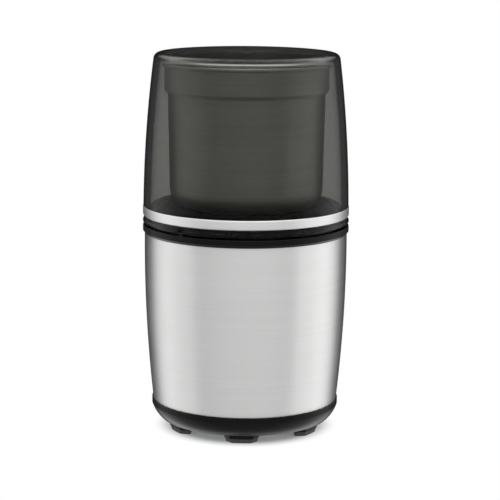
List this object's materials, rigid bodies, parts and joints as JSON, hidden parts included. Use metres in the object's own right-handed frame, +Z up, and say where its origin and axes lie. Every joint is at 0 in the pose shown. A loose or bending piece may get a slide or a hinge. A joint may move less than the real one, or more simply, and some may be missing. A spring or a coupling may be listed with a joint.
{
  "type": "electric spice grinder",
  "caption": "Electric spice grinder with a smoked clear push-down lid and metal trim band, stepped steel bowl and two-wing blade over a bowed brushed steel motor base on rubber feet.",
  "frame": {"origin": "centre of the circle that the six feet stand on, on the floor", "axes": "+Z up the machine's axis to the lid's flat top, -Y the front, the cord inlet at the rear (+Y)"},
  "size_m": [0.114, 0.114, 0.2087],
  "materials": {
    "smoked_plastic": "clear, lightly smoked, polished",
    "polished_trim": "polished",
    "bowl_steel": "brushed",
    "blade_steel": "satin",
    "nut_steel": "turned",
    "bronze": "sintered",
    "black_plastic": "glossy",
    "black_rubber": "matt",
    "pad_rubber": "matt",
    "grey_plastic": "matt",
    "switch_plastic": "matt",
    "white_plastic": "matt",
    "brushed_sleeve": "brushed round the body",
    "zinc_steel": "zinc plated",
    "core_steel": "varnished laminations",
    "copper": "enamelled copper",
    "carbon": "carbon graphite",
    "lead_insulation": "flexible insulation"
  },
  "bodies": {
    "base": {"deck": "black_plastic", "deck_seal": "black_rubber", "steel_sleeve": "brushed_sleeve", "base_pan": "black_plastic", "bottom_cover": "black_plastic", "cover_screws": "zinc_steel", "body_screws": "zinc_steel", "cord_gland": "black_rubber", "switch_body": "switch_plastic", "switch_pin": "zinc_steel", "motor_plate": "zinc_steel", "lower_bracket": "grey_plastic", "motor_bolts": "zinc_steel", "motor_spacers": "zinc_steel", "motor_grommets": "black_rubber", "mount_screws": "zinc_steel", "bearing_upper": "bronze", "bearing_lower": "bronze", "stator_core": "core_steel", "field_coil_left": "copper", "field_coil_right": "copper", "brush_holder_front": "grey_plastic", "brush_holder_rear": "grey_plastic", "carbon_brush_front": "carbon", "carbon_brush_rear": "carbon", "brush_spring_front": "zinc_steel", "brush_spring_rear": "zinc_steel", "terminal_block": "white_plastic", "internal_leads": "lead_insulation", "foot_pad_1": "pad_rubber", "foot_pad_2": "pad_rubber", "foot_pad_3": "pad_rubber", "foot_pad_4": "pad_rubber", "foot_pad_5": "pad_rubber", "foot_pad_6": "pad_rubber", "return_spring_1": "zinc_steel", "return_spring_2": "zinc_steel", "return_spring_3": "zinc_steel"},
    "press": {"press_ring": "grey_plastic"},
    "lid": {"lid": "smoked_plastic", "lid_trim_ring": "polished_trim"},
    "bowl": {"bowl": "bowl_steel", "bowl_foot": "black_plastic", "bowl_gasket": "black_rubber", "bowl_nut": "nut_steel", "blade_bush": "bronze", "shaft_seal": "black_rubber"},
    "blade": {"blade": "blade_steel", "blade_shaft": "nut_steel", "blade_nut": "nut_steel", "blade_coupling": "grey_plastic"},
    "armature": {"armature_core": "core_steel", "armature_winding": "copper", "commutator": "copper", "motor_shaft": "nut_steel", "fan": "grey_plastic", "drive_coupling": "grey_plastic"},
    "switch_lever": {"switch_lever": "zinc_steel"},
    "switch_button": {"switch_button": "switch_plastic"}
  },
  "joints": [
    {"name": "lid_press", "type": "slide", "parent": "base", "child": "press", "axis": [0, 0, -1], "range_m": [0, 0.0015], "stiffness_N_per_m": 1500, "springref_m": -0.004, "deforming": ["return_spring_1", "return_spring_2", "return_spring_3"]},
    {"name": "lid_lift", "type": "slide", "parent": "press", "child": "lid", "axis": [0, 0, 1], "range_m": [0, 0.12]},
    {"name": "bowl_twist", "type": "hinge", "parent": "base", "child": "bowl", "pos_m": [0, 0, 0.1236], "axis": [0, 0, 1], "range_deg": [0, 30]},
    {"name": "motor_spin", "type": "hinge", "parent": "base", "child": "armature", "pos_m": [0, 0, 0.057], "axis": [0, 0, 1], "continuous": true},
    {"name": "blade_spin", "type": "hinge", "parent": "bowl", "child": "blade", "pos_m": [0, 0, 0.1342], "axis": [0, 0, 1], "continuous": true},
    {"name": "switch_lever_turn", "type": "hinge", "parent": "base", "child": "switch_lever", "pos_m": [0.041, -0.008, 0.0935], "axis": [-1, 0, 0], "range_deg": [0, 6]},
    {"name": "switch_button_push", "type": "slide", "parent": "base", "child": "switch_button", "axis": [0, 0, -1], "range_m": [0, 0.0005]}
  ],
  "couplings": [
    {"joint": "blade_spin", "follows": "motor_spin", "ratio": 1},
    {"joint": "switch_lever_turn", "follows": "lid_press", "rad_per_m": 69.813},
    {"joint": "switch_button_push", "follows": "lid_press", "ratio": 0.33333}
  ]
}
